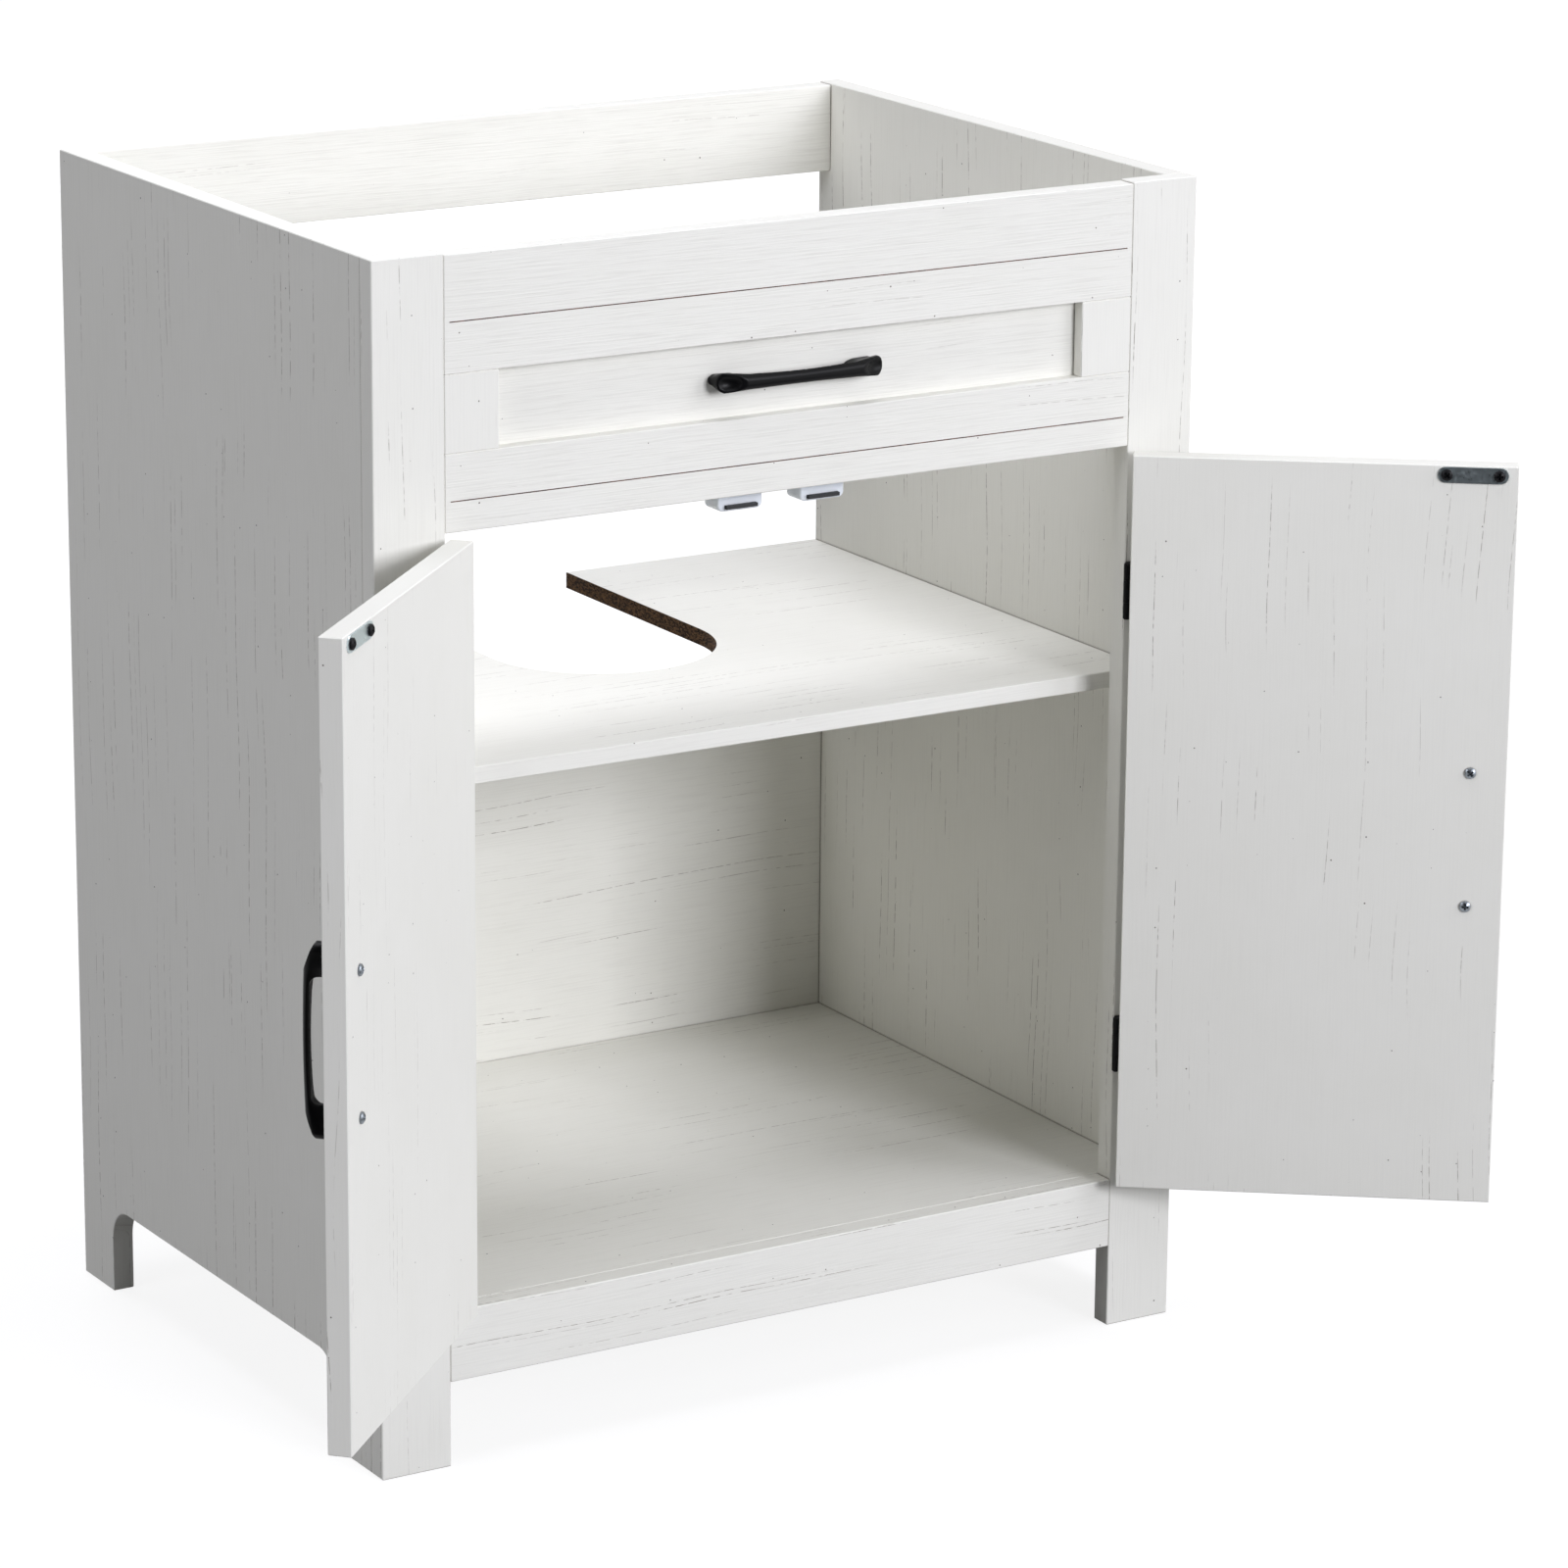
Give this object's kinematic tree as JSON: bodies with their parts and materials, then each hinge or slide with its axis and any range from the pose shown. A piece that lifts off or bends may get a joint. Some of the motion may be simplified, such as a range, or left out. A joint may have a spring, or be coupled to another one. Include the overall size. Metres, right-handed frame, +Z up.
{
  "type": "vanity unit",
  "caption": "Free-standing bathroom vanity base of whitewashed boards: fixed mock drawer front, hinged inset doors, shelf cut out for the waste pipe, open rim for a basin top.",
  "frame": {"origin": "on the floor under the middle of the carcass", "axes": "+X to the right along the front, +Y from the front to the wall, +Z up"},
  "size_m": [0.9296, 0.6653, 0.826],
  "materials": {
    "whitewashed_board": "whitewashed wood-grain melamine, matt",
    "beech_dowel": "plain beech",
    "zinc_plate": "bright zinc",
    "white_plastic": "moulded, satin",
    "magnet": "ground ferrite",
    "black_metal": "matt black coating"
  },
  "bodies": {
    "cabinet": {"left_side_panel": "whitewashed_board", "right_side_panel": "whitewashed_board", "left_stile": "whitewashed_board", "right_stile": "whitewashed_board", "apron_top_rail": "whitewashed_board", "apron_bottom_rail": "whitewashed_board", "apron_left_end": "whitewashed_board", "apron_right_end": "whitewashed_board", "apron_field_panel": "whitewashed_board", "bottom_rail": "whitewashed_board", "bottom_panel": "whitewashed_board", "back_panel": "whitewashed_board", "back_top_rail": "whitewashed_board", "shelf": "whitewashed_board", "front_stretcher": "whitewashed_board", "wood_dowels": "beech_dowel", "cam_locks": "zinc_plate", "cam_bolts": "zinc_plate", "apron_handle": "black_metal", "apron_handle_screws": "zinc_plate", "left_catch_housing": "white_plastic", "right_catch_housing": "white_plastic", "catch_magnets": "magnet", "catch_screws": "black_metal", "left_upper_stile_leaf": "black_metal", "left_upper_hinge_pin": "black_metal", "left_lower_stile_leaf": "black_metal", "left_lower_hinge_pin": "black_metal", "right_upper_stile_leaf": "black_metal", "right_upper_hinge_pin": "black_metal", "right_lower_stile_leaf": "black_metal", "right_lower_hinge_pin": "black_metal", "stile_hinge_screws": "black_metal"},
    "left_door": {"left_door_panel": "whitewashed_board", "left_door_handle": "black_metal", "left_door_handle_screws": "zinc_plate", "left_strike_plate": "zinc_plate", "left_strike_screws": "black_metal", "left_upper_door_leaf": "black_metal", "left_lower_door_leaf": "black_metal", "left_door_hinge_screws": "black_metal"},
    "right_door": {"right_door_panel": "whitewashed_board", "right_door_handle": "black_metal", "right_door_handle_screws": "zinc_plate", "right_strike_plate": "zinc_plate", "right_strike_screws": "black_metal", "right_upper_door_leaf": "black_metal", "right_lower_door_leaf": "black_metal", "right_door_hinge_screws": "black_metal"}
  },
  "joints": [
    {"name": "left_door_hinge", "type": "hinge", "parent": "cabinet", "child": "left_door", "pos_m": [-0.266, -0.2355, 0.3765], "axis": [0, 0, -1], "range_deg": [-136, 40]},
    {"name": "right_door_hinge", "type": "hinge", "parent": "cabinet", "child": "right_door", "pos_m": [0.266, -0.2355, 0.3765], "axis": [0, 0, 1], "range_deg": [-143, 33]}
  ]
}
